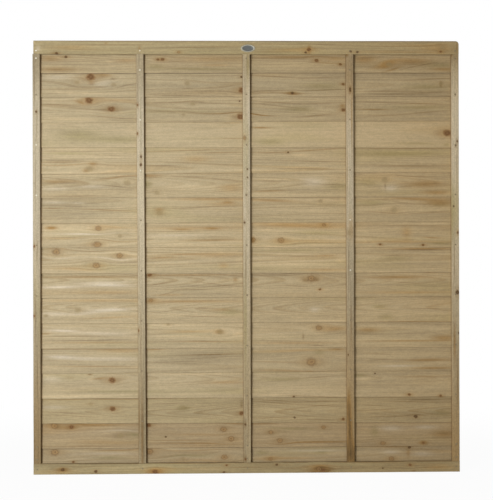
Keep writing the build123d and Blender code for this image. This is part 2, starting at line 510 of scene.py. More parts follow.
# each board's own look
boardLooks = {
    1: {"tone": 0.9, "heart": (0.02, 0.03), "warm": 0.6, "green": 0.2, "ring": 0.006, "taper": -0.02,
        "colour": paint(189, 171, 136)},
    2: {"tone": 0.91, "heart": (-0.01, 0.035), "ring": 0.0062, "taper": 0.02, "lipDirt": 0.6},
    3: {"tone": 0.96, "heart": (0.01, 0.04), "ring": 0.0048, "taper": -0.012, "lipDirt": 0.12},
    4: {"tone": 1.09, "heart": (0.03, 0.09), "late": 0.18, "broad": 0.26, "ring": 0.004, "lipDirt": 0.0},
    5: {"tone": 1.04, "heart": (-0.05, 0.05), "ring": 0.007, "broad": 0.5},
    6: {"tone": 1.03, "heart": (0.0, 0.03), "ring": 0.0055, "taper": 0.04, "lipDirt": 0.14},
    7: {"tone": 1.01, "heart": (0.03, 0.04), "ring": 0.0065},
    8: {"tone": 1.06, "heart": (-0.03, 0.05), "ring": 0.0045, "warm": 0.55, "lipDirt": 0.16},
    9: {"tone": 1.04, "heart": (0.0, 0.06), "ring": 0.005, "taper": 0.008, "lipDirt": 0.16},
    10: {"tone": 0.97, "heart": (0.01, 0.028), "ring": 0.0058, "taper": 0.05, "lipDirt": 0.26},
    11: {"tone": 1.03, "heart": (0.0, 0.03), "ring": 0.005, "taper": -0.045, "lipDirt": 0.32},
    12: {"tone": 1.03, "heart": (0.01, 0.04), "ring": 0.0056, "late": 0.36},
    13: {"tone": 0.94, "heart": (-0.04, 0.05), "ring": 0.006, "late": 0.36, "lipDirt": 0.1},
    14: {"tone": 1.0, "heart": (0.02, 0.035), "ring": 0.0048, "taper": 0.04, "late": 0.36, "lipDirt": 0.08},
    15: {"tone": 0.87, "heart": (-0.015, 0.03), "taper": -0.045, "late": 0.6, "lipDirt": 0.28,
         "colour": paint(187, 170, 133)},
    16: {"tone": 0.81, "ring": 0.0056, "warm": 0.6, "green": 0.15, "lipDirt": 0.26,
         "colour": paint(189, 168, 132)},
    17: {"tone": 0.86, "heart": (0.02, 0.05), "ring": 0.006, "lipDirt": 0.36, "colour": paint(188, 170, 136)},
}

# knots by kind: x, z and size
boardKnots = {
    1: {"dark": [(-773, 1787, 6)], "brown": [(-380, 1777, 6), (-360, 1777, 7), (303, 1773, 8), (406, 1756, 6)],
        "faint": [(616, 1756, 12)]},
    2: {"brown": [(-668, 1702, 17), (-20, 1645, 12), (418, 1671, 6)], "faint": [(-727, 1678, 9),
        (-570, 1668, 9), (-255, 1674, 10), (841, 1672, 7)], "dark": [(-21, 1702, 5), (198, 1632, 7)]},
    3: {"brown": [(-676, 1601, 15), (-580, 1564, 13), (-25, 1531, 14), (418, 1560, 8)],
        "faint": [(-230, 1586, 8), (-270, 1540, 6)], "pin": [(-29, 1598, 4)]},
    4: {"brown": [(867, 1460, 15)]},
    5: {"faint": [(-672, 1307, 12)], "dark": [(179, 1377, 4)]},
    6: {"faint": [(-514, 1248, 12), (-385, 1204, 9), (597, 1258, 12)]},
    7: {"faint": [(-376, 1117, 12), (319, 1168, 8), (636, 1129, 13)]},
    8: {"ring": [(-637, 1052, 11), (-641, 982, 14), (28, 1000, 9), (148, 998, 12), (333, 1064, 7)],
        "faint": [(-545, 1018, 8)], "brown": [(575, 979, 5), (761, 977, 5)]},
    9: {"ring": [(-818, 952, 14), (-546, 934, 12), (-646, 893, 13)]},
    10: {"brown": [(-418, 851, 8), (315, 786, 5)], "ring": [(278, 834, 14)]},
    11: {"faint": [(-725, 700, 10), (-863, 677, 8)], "ring": [(-414, 742, 9)]},
    12: {"faint": [(-340, 639, 6), (-116, 605, 12)], "ring": [(309, 621, 12)]},
    13: {"ring": [(277, 474, 18)]},
    14: {"brown": [(-580, 400, 13), (699, 331, 6), (835, 326, 5)], "pin": [(552, 423, 4)],
        "dark": [(200, 325, 5)]},
    15: {"brown": [(-578, 277, 11), (-25, 255, 9), (413, 227, 6)], "faint": [(-672, 297, 8), (-276, 279, 8)],
        "pin": [(204, 235, 5)], "dark": [(727, 236, 8)]},
    16: {"ring": [(-827, 205, 13), (-102, 186, 12), (-70, 145, 12), (329, 192, 8), (101, 172, 9),
        (140, 136, 11), (585, 122, 9)], "brown": [(-755, 200, 10), (-424, 207, 9), (760, 123, 5)],
        "faint": [(-546, 160, 11)], "pin": [(-351, 155, 4)]},
    17: {"ring": [(-825, 92, 15), (-419, 92, 13), (-99, 66, 12), (100, 57, 8), (622, 55, 10)],
        "brown": [(-746, 50, 5)], "faint": [(-276, 60, 7)], "dark": [(700, 103, 6)]},
}

# streaks and stains by kind: x, z, half length and half height, and rise in hundredths where they slope
boardStreaks = {
    1: {"pale": [(-830, 1787, 30, 3, -5), (-700, 1763, 70, 5), (-550, 1750, 90, 5, 2), (-550, 1729, 80, 4),
        (200, 1752, 180, 10)], "bright": [(-588, 1767, 18, 5)], "brown": [(-840, 1780, 50, 12),
        (-810, 1733, 90, 11), (200, 1786, 190, 7), (350, 1763, 45, 2, -12), (510, 1776, 50, 16),
        (630, 1739, 35, 5, 30), (720, 1768, 80, 14), (850, 1735, 50, 7)], "tan": [(-150, 1779, 140, 14),
        (-130, 1752, 60, 5), (-520, 1772, 40, 9), (385, 1777, 45, 9), (600, 1756, 60, 11, 20),
        (600, 1754, 40, 8, 20)], "dark": [(-310, 1768, 50, 1.6, -6), (740, 1750, 70, 1.8, 18)],
        "olive": [(-390, 1747, 35, 10), (-200, 1735, 180, 6), (830, 1752, 70, 14)]},
    2: {"dark": [(-790, 1714, 90, 2.4), (-573, 1693, 12, 5), (-510, 1668, 60, 2.4, 14),
        (-620, 1652, 130, 1.8, 3), (-740, 1667, 70, 1.6, -8), (-150, 1706, 180, 1.6), (-255, 1657, 25, 3),
        (-200, 1641, 200, 2), (-220, 1632, 180, 1.5), (-300, 1622, 120, 2, -2), (120, 1704, 100, 2.4, -5),
        (300, 1698, 100, 2.2, 3), (100, 1642, 90, 3.5), (330, 1645, 100, 2.4, 4), (800, 1693, 100, 3, 3),
        (840, 1672, 6, 12), (620, 1640, 130, 2.6, 1), (800, 1636, 100, 2.8, 2), (650, 1628, 140, 2.4)],
        "pale": [(-150, 1711, 180, 1.6), (130, 1711, 60, 3, -8), (250, 1707, 60, 3), (100, 1627, 80, 3),
        (300, 1622, 100, 3.5), (560, 1708, 80, 2), (500, 1640, 30, 8), (-30, 1625, 20, 6)],
        "bright": [(-790, 1637, 110, 6, -2), (-600, 1629, 140, 5, -1)], "chalk": [(-810, 1700, 60, 8),
        (-620, 1680, 50, 12)], "olive": [(330, 1662, 90, 16), (780, 1660, 100, 14)],
        "brown": [(90, 1634, 80, 1.8, -2), (200, 1631, 45, 3.4, -3), (-610, 1706, 35, 6),
        (-664, 1686, 14, 10)]},
    3: {"bright": [(-190, 1609, 150, 2.6), (-750, 1520, 120, 7, -3)], "pale": [(-840, 1537, 70, 8, -5),
        (-120, 1527, 100, 4), (-300, 1519, 140, 5, 1), (100, 1605, 100, 4, -3), (300, 1603, 120, 4, 2),
        (250, 1521, 150, 5, 2), (600, 1602, 140, 4), (820, 1606, 60, 4), (510, 1550, 30, 7)],
        "tan": [(-560, 1600, 110, 6), (-520, 1590, 80, 3)], "brown": [(-711, 1597, 20, 3, -10),
        (-600, 1533, 60, 1.8, -8), (-100, 1541, 90, 3, -2), (55, 1536, 60, 2.2, -5), (55, 1536, 50, 1.6, -5),
        (414, 1575, 12, 10), (550, 1562, 60, 3)], "dark": [(-820, 1583, 80, 2.2, -2),
        (-700, 1571, 110, 1.8, -6), (-520, 1523, 50, 1.8, -5), (-300, 1593, 150, 2.2, -1),
        (-120, 1588, 120, 2.6), (-370, 1554, 70, 2.6, -3), (-240, 1548, 80, 2.6, -3), (120, 1593, 120, 2.6, -6),
        (320, 1588, 100, 2.2, 3), (130, 1578, 100, 2.4, -10), (300, 1535, 80, 3.4, 10),
        (550, 1594, 100, 2.2, -2), (770, 1587, 100, 2.6, -2), (600, 1536, 80, 2.6, 3), (770, 1549, 90, 2.8, 8)],
        "olive": [(230, 1563, 60, 14), (740, 1570, 140, 10)]},
    4: {"shaded": [(-690, 1455, 260, 60)], "lit": [(450, 1455, 420, 60)], "olive": [(-720, 1450, 90, 26),
        (-550, 1432, 110, 14), (100, 1420, 60, 12), (740, 1415, 80, 5), (865, 1411, 12, 8)],
        "brown": [(60, 1485, 45, 3, -1), (60, 1482, 45, 2, -1), (-60, 1437, 60, 1.4), (-60, 1504, 50, 1.6)],
        "pale": [(865, 1441, 14, 5)]},
    5: {"pale": [(-700, 1390, 180, 3), (-760, 1354, 110, 5), (-570, 1357, 80, 3, -3), (-330, 1373, 120, 4, 3),
        (-380, 1333, 50, 5), (-380, 1300, 50, 4), (-120, 1317, 90, 3, -3), (510, 1352, 25, 9)],
        "bright": [(-550, 1297, 110, 5), (-770, 1292, 100, 4, 1), (-300, 1391, 120, 2.6, 1), (235, 1366, 40, 6),
        (200, 1313, 180, 4, -2), (150, 1298, 140, 4, -1), (680, 1299, 220, 4)], "dark": [(-700, 1383, 170, 1.6),
        (-600, 1366, 80, 1.6, -2), (-780, 1345, 90, 2), (-790, 1336, 80, 5), (-350, 1320, 80, 2.4),
        (300, 1338, 120, 2, -3), (300, 1305, 150, 2, -2), (700, 1393, 180, 2), (730, 1318, 150, 4)],
        "brown": [(-280, 1385, 180, 1.8, 3), (-120, 1376, 90, 2, 2), (-660, 1322, 18, 10), (-690, 1303, 12, 4),
        (100, 1376, 70, 1.8, -1), (280, 1386, 120, 2.4, 6)], "tan": [(-770, 1322, 100, 3, 1),
        (-220, 1348, 60, 14)], "olive": [(-770, 1373, 90, 5), (690, 1370, 190, 14)]},
    6: {"shaded": [(-690, 1240, 260, 60)], "lit": [(-230, 1240, 200, 60)], "brown": [(-545, 1268, 90, 5, 8),
        (-800, 1252, 70, 9), (-420, 1276, 50, 9), (95, 1211, 75, 4, 3), (770, 1240, 90, 16),
        (820, 1203, 60, 10)], "dark": [(-560, 1236, 80, 2, -3), (-740, 1190, 110, 2), (-240, 1272, 90, 2.4, -5),
        (-90, 1261, 70, 2, -6), (120, 1254, 110, 2), (740, 1272, 110, 2, -2), (330, 1240, 80, 1.6, -4),
        (598, 1235, 4, 18)], "chalk": [(-820, 1222, 60, 8), (-660, 1230, 60, 7), (285, 1250, 50, 20),
        (620, 1225, 30, 16)], "pale": [(-250, 1230, 120, 18), (-70, 1276, 50, 2, -3), (-730, 1278, 150, 3),
        (150, 1198, 120, 5)], "bright": [(90, 1262, 80, 3)], "tan": [(-70, 1225, 50, 18)],
        "olive": [(-430, 1240, 22, 18), (400, 1230, 60, 15), (520, 1250, 60, 20)]},
    7: {"shaded": [(-750, 1130, 200, 60)], "lit": [(250, 1130, 200, 60)], "chalk": [(-820, 1163, 55, 6, -2),
        (-720, 1160, 30, 4)], "dark": [(-740, 1147, 50, 1.8), (-200, 1141, 150, 2, 5), (345, 1152, 35, 2.2),
        (600, 1171, 60, 2, -6), (650, 1160, 50, 2, -12), (810, 1119, 80, 2.4, 3), (600, 1122, 100, 2)],
        "brown": [(-830, 1138, 50, 2.6), (-600, 1130, 110, 2.6, -5), (-160, 1176, 160, 6), (-82, 1163, 25, 6),
        (-376, 1125, 20, 8), (110, 1170, 110, 6, -4), (720, 1175, 110, 7, -3), (830, 1160, 60, 14)],
        "tan": [(-100, 1155, 80, 9)], "pale": [(-545, 1142, 12, 3), (200, 1147, 150, 4, -3),
        (200, 1130, 200, 4), (640, 1150, 30, 2, -30), (600, 1140, 40, 8)], "olive": [(540, 1160, 60, 15),
        (840, 1150, 40, 10)]},
    8: {"lit": [(300, 1020, 220, 60)], "brown": [(-838, 1054, 26, 8), (-838, 1054, 22, 6), (-580, 994, 100, 2),
        (-280, 1046, 40, 4), (-150, 1050, 30, 6), (-150, 1000, 130, 4), (280, 988, 140, 2),
        (800, 1008, 40, 3, -5), (26, 1000, 8, 8)], "tan": [(-790, 1007, 90, 4, -1), (-570, 1055, 60, 5),
        (-230, 1052, 200, 8), (200, 1062, 190, 11), (260, 996, 160, 4), (680, 990, 200, 6),
        (690, 1030, 20, 26)], "dark": [(-770, 1013, 110, 1.4), (-300, 1037, 140, 1.6, 1),
        (700, 1060, 150, 1.8)], "chalk": [(-700, 1028, 110, 5, 1), (-700, 1028, 70, 3, 1),
        (-300, 1020, 120, 5)], "pale": [(-560, 982, 80, 5), (-230, 1068, 200, 3), (800, 1069, 80, 2.4)],
        "bright": [(-230, 979, 200, 6, -1), (85, 1044, 40, 4), (110, 977, 90, 7), (320, 978, 110, 4)],
        "olive": [(300, 1030, 100, 10), (830, 984, 40, 5)]},
    # dark at (760, 957) and brown at (760, 961) are painted shadow under the edge above
    9: {"lit": [(270, 915, 220, 60)], "chalk": [(-800, 930, 60, 3), (-560, 923, 100, 4)],
        "dark": [(-640, 953, 60, 1.6), (-700, 917, 140, 1.4), (240, 930, 50, 1.6, 6), (760, 957, 130, 5),
        (650, 930, 80, 1.6, -3)], "brown": [(-370, 925, 60, 4, 4), (-300, 938, 120, 3, 2), (340, 932, 50, 4),
        (760, 961, 130, 3)], "tan": [(-130, 935, 120, 12), (-100, 890, 20, 12), (-740, 880, 90, 8),
        (330, 870, 90, 6)], "pale": [(-300, 905, 120, 8), (90, 925, 50, 3), (180, 897, 160, 9)],
        "bright": [(400, 912, 18, 9)], "olive": [(200, 955, 150, 6), (640, 920, 60, 10)]},
    10: {"lit": [(700, 805, 220, 60)], "brown": [(-680, 843, 200, 5), (-250, 850, 180, 4), (-50, 830, 10, 10),
        (650, 838, 120, 7), (790, 857, 25, 2.4)], "chalk": [(-800, 800, 90, 8, 2), (-640, 809, 80, 8, 5),
        (-550, 806, 80, 9, -2), (-620, 819, 120, 5, 3), (-800, 800, 60, 4, 2), (-590, 808, 60, 4)],
        "tan": [(-600, 775, 130, 8), (-330, 765, 60, 4), (700, 772, 180, 6)], "pale": [(-200, 815, 120, 6),
        (240, 797, 60, 2, -4)], "dark": [(-380, 812, 50, 2, 20), (-170, 815, 70, 2, -12), (-100, 803, 60, 2, 2),
        (-340, 772, 40, 1.8, 25), (-220, 788, 110, 1.6), (160, 852, 140, 1.8, -1), (160, 846, 130, 1.4, -1),
        (200, 805, 50, 2), (250, 831, 12, 3), (300, 832, 12, 3), (680, 815, 60, 1.5, -6)]},
    11: {"tan": [(-650, 742, 200, 6), (-600, 668, 120, 4, 4), (-120, 700, 40, 6)],
        "chalk": [(-830, 683, 60, 8, 4), (-700, 690, 110, 8, 4), (-580, 702, 90, 9, 3), (-580, 702, 70, 5, 3),
        (290, 700, 20, 10)], "brown": [(-250, 737, 200, 6), (720, 646, 150, 1.8)], "pale": [(-400, 705, 40, 6),
        (-350, 672, 60, 3, 5), (-150, 652, 120, 2), (560, 702, 40, 3)], "bright": [(330, 652, 90, 3)],
        "dark": [(-310, 700, 60, 1.6, 14), (-200, 708, 100, 1.6, -2), (-180, 672, 130, 1.8, -2),
        (780, 702, 90, 1.6, -3)], "olive": [(-70, 690, 50, 14), (570, 712, 30, 10), (600, 665, 30, 12)]},
    12: {"chalk": [(-790, 613, 80, 8, -3), (-790, 613, 50, 4, -3), (-620, 600, 120, 9, -3)],
        "brown": [(-865, 600, 20, 3), (-120, 605, 18, 3), (-180, 565, 150, 3), (380, 617, 50, 9),
        (520, 611, 46, 9, -1), (700, 563, 180, 3), (850, 575, 50, 12)], "dark": [(-700, 588, 150, 1.6, -1),
        (-650, 572, 180, 1.6), (150, 565, 120, 2, -1), (242, 585, 4, 14), (300, 545, 35, 2.4, -2),
        (500, 594, 50, 1.6, -2)], "tan": [(-650, 562, 180, 5), (-230, 607, 90, 5), (200, 556, 180, 5)],
        "pale": [(-300, 587, 110, 5), (300, 600, 25, 6), (630, 612, 30, 2, -14), (620, 594, 40, 2, 8),
        (840, 612, 40, 1.6, 20), (840, 597, 40, 1.6, -18)], "bright": [(-40, 600, 20, 8),
        (700, 541, 160, 2.4, -2)]},
    13: {"lit": [(700, 480, 220, 60)], "shaded": [(-180, 485, 160, 34)], "brown": [(-790, 535, 90, 2),
        (-560, 531, 110, 3.5), (-640, 459, 170, 1.8, -1), (-400, 530, 40, 2.6), (-150, 508, 110, 3, 2),
        (385, 527, 35, 5, 3), (110, 475, 80, 1.4, -2), (780, 480, 90, 7, 2), (800, 445, 80, 5),
        (270, 440, 14, 5)], "tan": [(-540, 523, 100, 5), (200, 520, 180, 6), (200, 440, 180, 6)],
        "chalk": [(-800, 500, 70, 10, -3), (-800, 500, 50, 6, -3), (-700, 493, 70, 8, -2), (-560, 490, 110, 11),
        (650, 455, 80, 4)], "dark": [(-500, 450, 60, 1.4), (-150, 495, 100, 1.6, 4), (-250, 478, 100, 1.6, -3),
        (560, 508, 60, 1.6, -3), (570, 482, 50, 1.6, 3)], "olive": [(310, 508, 20, 14)]},
    14: {"dark": [(-675, 423, 10, 3.4), (-675, 423, 9, 3), (300, 408, 90, 1.6, 6), (280, 326, 100, 1.8, -3),
        (760, 408, 110, 4)], "pale": [(-675, 405, 20, 10), (-280, 338, 150, 6), (200, 424, 180, 2),
        (510, 400, 30, 8)], "bright": [(-700, 333, 180, 6), (-230, 424, 200, 2.4), (120, 332, 90, 4, -2)],
        "chalk": [(-840, 405, 50, 12)], "brown": [(-635, 404, 30, 3)], "tan": [(-90, 388, 90, 7)],
        "olive": [(150, 400, 100, 8), (480, 415, 40, 8), (-560, 352, 160, 6)]},
    15: {"chalk": [(-830, 285, 60, 8)], "dark": [(-800, 262, 100, 1.6, -6), (-760, 248, 120, 1.6, -5),
        (-330, 297, 110, 1.6), (120, 308, 110, 2, -6), (330, 303, 100, 2, 1), (130, 298, 110, 2, -8),
        (330, 285, 100, 2, -4), (200, 268, 60, 2, -12), (120, 236, 90, 2), (300, 226, 110, 2, -2),
        (760, 309, 100, 3), (740, 299, 120, 2.4, -2), (550, 285, 60, 1.6, -4), (550, 266, 60, 1.8, 4),
        (640, 238, 140, 2.6, 2), (-25, 290, 6, 18)], "pale": [(-620, 238, 150, 5), (-320, 303, 70, 1.6),
        (520, 278, 60, 3), (530, 256, 60, 3, 6), (200, 290, 130, 3, -6), (100, 270, 70, 8)],
        "brown": [(-600, 318, 250, 3), (838, 320, 14, 3)], "olive": [(840, 250, 40, 12), (-276, 279, 30, 6)]},
    16: {"brown": [(-680, 207, 200, 6), (-680, 118, 170, 1.6), (-60, 207, 70, 5), (-280, 140, 140, 2),
        (-230, 128, 190, 3), (70, 208, 60, 3), (290, 129, 140, 3), (850, 160, 50, 16), (760, 123, 20, 6)],
        "tan": [(-600, 135, 150, 10), (-200, 165, 150, 5), (290, 129, 140, 4)],
        "bright": [(270, 117, 150, 2.6)], "chalk": [(-540, 180, 80, 5), (620, 186, 50, 12), (770, 190, 50, 8)],
        "pale": [(720, 146, 80, 4), (700, 165, 60, 3)], "olive": [(550, 172, 18, 24), (180, 186, 100, 6),
        (-480, 165, 40, 8)]},
    17: {"brown": [(-570, 98, 110, 3), (-200, 96, 130, 2), (640, 106, 100, 2.4), (695, 80, 8, 18)],
        "tan": [(-200, 55, 180, 5), (150, 60, 120, 6)], "chalk": [(-600, 85, 130, 5), (300, 92, 120, 6),
        (620, 80, 40, 11), (755, 76, 50, 11)], "olive": [(-590, 67, 60, 7), (60, 85, 30, 10), (320, 84, 30, 8),
        (-250, 72, 100, 6)]},
}


def framePoints(node):
    return np.array([v.co for v in frame["nodes"][node].data.vertices])


def lowerEdge(node):
    # height of the lower edge at the left and right end
    low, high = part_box(node)
    points = framePoints(node)
    return [points[np.abs(points[:, 0] - x) < 0.001][:, 2].min() for x in (low.x, high.x)]


def lapBoard(number):
    node = f"lap_board_{number:02d}"
    low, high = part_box(node)
    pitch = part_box("lap_board_01")[1].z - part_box("lap_board_02")[1].z
    thickness, arris = boardShape["thickness"], boardShape["arris"]
    tilt = math.asin((thickness + boardShape["clearance"]) / pitch)
    axes = grainAxes((low + high) / 2, (1, 0, 0), (0, math.sin(tilt), math.cos(tilt)))
    width = ((high.z - low.z) - (thickness - 2 * arris) * math.sin(tilt)) / math.cos(tilt)
    length = high.x - low.x
    outline = slab(width, thickness, arris, boardShape["step"])
    inward = inwardOf(outline)
    stations = rows(-length / 2, length / 2, boardShape["stride"], endRow["length"])
    along, across, depth = lengthwise(stations, outline)

    # the lower edge is sawn at a slant
    left, right = [height - low.z for height in lowerEdge(node)]
    rise = left + (right - left) * (along / length + 0.5)
    across = width / 2 - (width / 2 - across) * (1 - rise / math.cos(tilt) / width)

    # the faces are pressed inwards, the edges wander, and the ends are a little out of square
    faceUp = np.abs(inward[:, 1])[None, :]
    cells = boardShape["cells"]
    cup = unevenness(number * 3 + (depth > 0), along * cells["cup"][0] + 9, across * cells["cup"][1] + 9)
    edge = unevenness(number * 5 + (outline[:, 0] > 0), along * cells["edge"] + 7, 0 * along)
    press = cup * boardShape["cup"] * faceUp + edge * boardShape["edgeWander"] * (1 - faceUp)
    square = unevenness(number * 7, across * cells["end"] + 3, 0 * across + 1) * boardShape["endWander"]
    atEnd = np.isclose(np.abs(stations), np.abs(stations).max())[:, None]
    along = along + np.where(along < 0, 1, -1) * (square * atEnd)
    across = across + inward[:, 0] * press
    depth = depth + inward[:, 1] * press

    alongWay, acrossWay = np.array(axes["along"]), np.array(axes["across"])
    sections = np.array(axes["middle"]) + along[..., None] * alongWay + across[..., None] * acrossWay
    sections = sections + depth[..., None] * np.cross(alongWay, acrossWay)

    # painted shade beside the battens and under the edge above: its height and slope on this board
    above = lowerEdge(f"lap_board_{number - 1:02d}" if number > 1 else "front_top_rail")
    left, right = [onGrain(axes, 0.0, height)[1] for height in above]
    look = {**boardLook, **boardLooks[number], "seed": number}
    look["lip"] = ((left + right) / 2, (right - left) / length)
    look["between"] = [battenSides(each, axes["middle"].z) for each in range(1, battenShape["count"] + 1)]
    material = timber(node, axes, look, marksOf(boardKnots[number]), marksOf(boardStreaks[number]))
    sweep(node, sections, material)


# Battens, front and back, counted from the left

battenShape = {
    "count": 5,
    "arris": 0.001,
    "step": 0.004,
    "stride": 0.008,
    "hollow": 0.0004,
    "cells": ((9, 60), (60, 200)),  # hollows in a metre along and across, coarse and fine
    "byNail": (-0.006, -0.003, 0.0, 0.003, 0.006),  # closer rows round each nail
}

battenLook = {
    **timberLook,
    "colour": paint(199, 187, 161),
    "warmRight": 0.12,
    "late": 0.3,
    "broad": 0.34,
    "fine": 0.4,
    "heart": (0.05, 0.04),
    "wander": 0.012,
    "taper": 0.003,
    "ring": 0.0038,
    "sawPitch": 240.0,
    "sawDepth": 0.5,
    "speck": 0.9,
    "bump": 0.0006,
}

battenLooks = {
    1: {"heart": (0.06, 0.03), "tone": 0.92},
    2: {"heart": (-0.05, 0.05), "tone": 0.95},
    3: {"heart": (0.02, 0.06), "tone": 1.04},
    4: {"heart": (-0.03, 0.03), "warm": 0.25},
    5: {"heart": (0.04, 0.05), "green": 0.8, "tone": 1.14},
}

battenKnots = {
    1: {"dark": [(-898, 1550, 5)], "brown": [(-908, 975, 5), (-910, 678, 5)]},
    2: {"brown": [(-467, 1579, 4), (-468, 1456, 5), (-466, 614, 5)], "dark": [(-452, 1358, 5),
        (-453, 1323, 6)]},
    3: {"ring": [(-9, 1437, 8)], "pin": [(3, 1304, 4), (3, 1269, 4), (-2, 1193, 4), (1, 763, 3), (-1, 333, 3)],
        "dark": [(-10, 1075, 5), (-9, 209, 5)], "brown": [(-9, 61, 5)]},
    4: {"dark": [(445, 1648, 5), (446, 1640, 5), (434, 506, 3)], "faint": [(440, 1030, 9)]},
    5: {"pin": [(899, 1624, 4), (891, 1143, 4), (912, 597, 4)], "dark": [(907, 1423, 4), (900, 1405, 4),
        (906, 773, 9)], "brown": [(908, 1030, 5)]},
}

# as on the boards, but the length runs up the batten
battenStreaks = {
    1: {"dark": [(-905, 1650, 90, 2), (-896, 1480, 70, 2), (-903, 1260, 90, 1.6), (-897, 960, 60, 3),
        (-905, 700, 120, 2), (-897, 420, 120, 2)], "shaded": [(-900, 1760, 200, 40), (-900, 60, 200, 40)],
        "tan": [(-900, 80, 330, 40)]},
    2: {"pale": [(-452, 1150, 300, 18)], "dark": [(-465, 1640, 80, 2), (-452, 1470, 90, 1.6),
        (-462, 1000, 90, 2), (-455, 560, 120, 2)], "brown": [(-450, 150, 200, 6), (-463, 240, 90, 3)]},
    3: {"pale": [(0, 450, 300, 25)], "olive": [(6, 1750, 60, 8), (-8, 650, 200, 8)], "dark": [(-6, 1600, 90, 2),
        (5, 1130, 80, 1.6), (-5, 880, 90, 2), (4, 250, 90, 2)]},
    4: {"brown": [(430, 1797, 10, 8), (452, 1500, 120, 3), (432, 1300, 110, 2)], "tan": [(446, 1050, 60, 8),
        (440, 1670, 160, 40), (440, 180, 400, 40), (441, 62, 50, 16)], "shaded": [(441, 62, 50, 16),
        (440, 700, 350, 40), (440, 1700, 150, 40)], "dark": [(436, 900, 120, 2), (447, 650, 120, 2)],
        "stain": [(439, 250, 70, 5), (441, 170, 60, 7), (444, 90, 50, 10), (456, 80, 40, 4), (430, 80, 50, 4),
        (433, 270, 50, 4)], "pale": [(440, 200, 350, 40)]},
    5: {"head": [(895, 1800, 50, 30)], "brown": [(882, 1797, 10, 5), (893, 560, 80, 6)],
        "dark": [(905, 1300, 120, 2), (893, 900, 120, 2), (905, 400, 120, 2)], "tan": [(895, 60, 300, 40)]},
}

battenEnds = {"head": (1790, 150, 60), "foot": (160, 680, 60)}  # darker there: z, reach and half width


def battenLine(node):
    # x of a batten's middle at its foot and at its head, and its width
    low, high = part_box(node)
    points = framePoints(node)
    ends = [points[np.abs(points[:, 2] - level) < 0.0005][:, 0] for level in (low.z, high.z)]
    footX, headX = [(end.min() + end.max()) / 2 for end in ends]
    return footX, headX, ends[0].max() - ends[0].min()


def battenSides(number, z):
    # x of a front batten's left and right side at some height
    node = f"front_batten_{number}"
    low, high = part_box(node)
    footX, headX, width = battenLine(node)
    x = footX + (headX - footX) * (z - low.z) / (high.z - low.z)
    return x - width / 2, x + width / 2


def batten(side, number, nailed):
    node = f"{side}_batten_{number}"
    low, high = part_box(node)
    footX, headX, width = battenLine(node)
    length, depth, lean = high.z - low.z, high.y - low.y, headX - footX
    middle = Vector(((footX + headX) / 2, (low.y + high.y) / 2, (low.z + high.z) / 2))
    outline = thinDuplicates(slab(width, depth, battenShape["arris"], battenShape["step"], backArris=0.0))
    near = [z + away - middle.z for x, z in nailed if low.x < x < high.x for away in battenShape["byNail"]]
    near = [height for height in near if abs(height) < length / 2 - 0.004]
    stations = stationsOf(length, battenShape["stride"], near)
    seed = 100 + number * 3 + (side == "back") * 40
    along, across, out = places = lengthwise(stations, outline)
    across, out = roughened(places, outline, battenShape, seed)
    x = middle.x + across + along * lean / length
    sections = np.stack([x, middle.y + outwards(side) * out, middle.z + along], axis=-1)
    axes = grainAxes(middle, (lean, 0, length), (1, 0, 0))

    # only the front battens have looks and marks of their own
    own = (battenLooks, battenKnots, battenStreaks) if side == "front" else ({}, {}, {})
    looks, knots, streaks = [table.get(number, {}) for table in own]
    ends = {kind: [(middle.x * 1000, *end)] for kind, end in battenEnds.items()}
    look = {**battenLook, **looks, "seed": seed % 37}
    material = timber(node, axes, look, marksOf(knots), marksOf(ends, streaks))
    sweep(node, sections, material)


def stationsOf(length, stride, more):
    # even rows along a piece, and some more where they are needed
    even = rows(-length / 2, length / 2, stride, endRow["length"])
    stations = np.unique(np.round(np.concatenate((even, more)), 5))
    stations[0], stations[-1] = -length / 2, length / 2
    return stations


def outwards(side):
    return -1 if side == "front" else 1


def thinDuplicates(outline):
    # points that lie on each other are moved a hair apart
    gaps = np.linalg.norm(outline - np.roll(outline, 1, axis=0), axis=1)
    for i in np.flatnonzero(gaps < 1e-6):
        outline[i] = outline[i] * 0.7 + outline[(i + 1) % len(outline)] * 0.3
    return outline


# Rails, across the whole width

railShape = {
    "round": {"top": 0.006, "bottom": 0.001},  # outer upper edge
    "arris": 0.001,
    "corner": 0.016,  # right-hand end of the top rails, seen from the front
    "step": 0.005,
    "stride": 0.008,
    "hollow": 0.0004,
    "cells": ((7, 50), (40, 150)),
}

railLook = {
    **timberLook,
    "colour": paint(172, 157, 120),
    "cloud": 0.25,
    "mottle": 0.35,
    "heart": (0.01, 0.035),
    "wander": 0.02,
    "taper": 0.006,
    "ring": 0.0042,
}

railTones = {"top": 1.0, "bottom": 0.93}

railKnots = {
    "front_top_rail": {"dark": [(-811, 1800, 6), (255, 1804, 5)], "pin": [(448, 1809, 5), (477, 1806, 5)],
        "brown": [(268, 1817, 8), (836, 1808, 5)], "ring": [(-290, 1805, 6)], "faint": [(845, 1826, 9)]},
    "front_bottom_rail": {"dark": [(-790, 21, 8), (-648, 13, 7), (-101, 5, 5), (125, 36, 5)],
        "brown": [(-395, 9, 11), (-90, 35, 5), (325, 11, 8), (700, 31, 6)], "ring": [(308, 16, 11)],
        "pin": [(581, 18, 4)]},
}

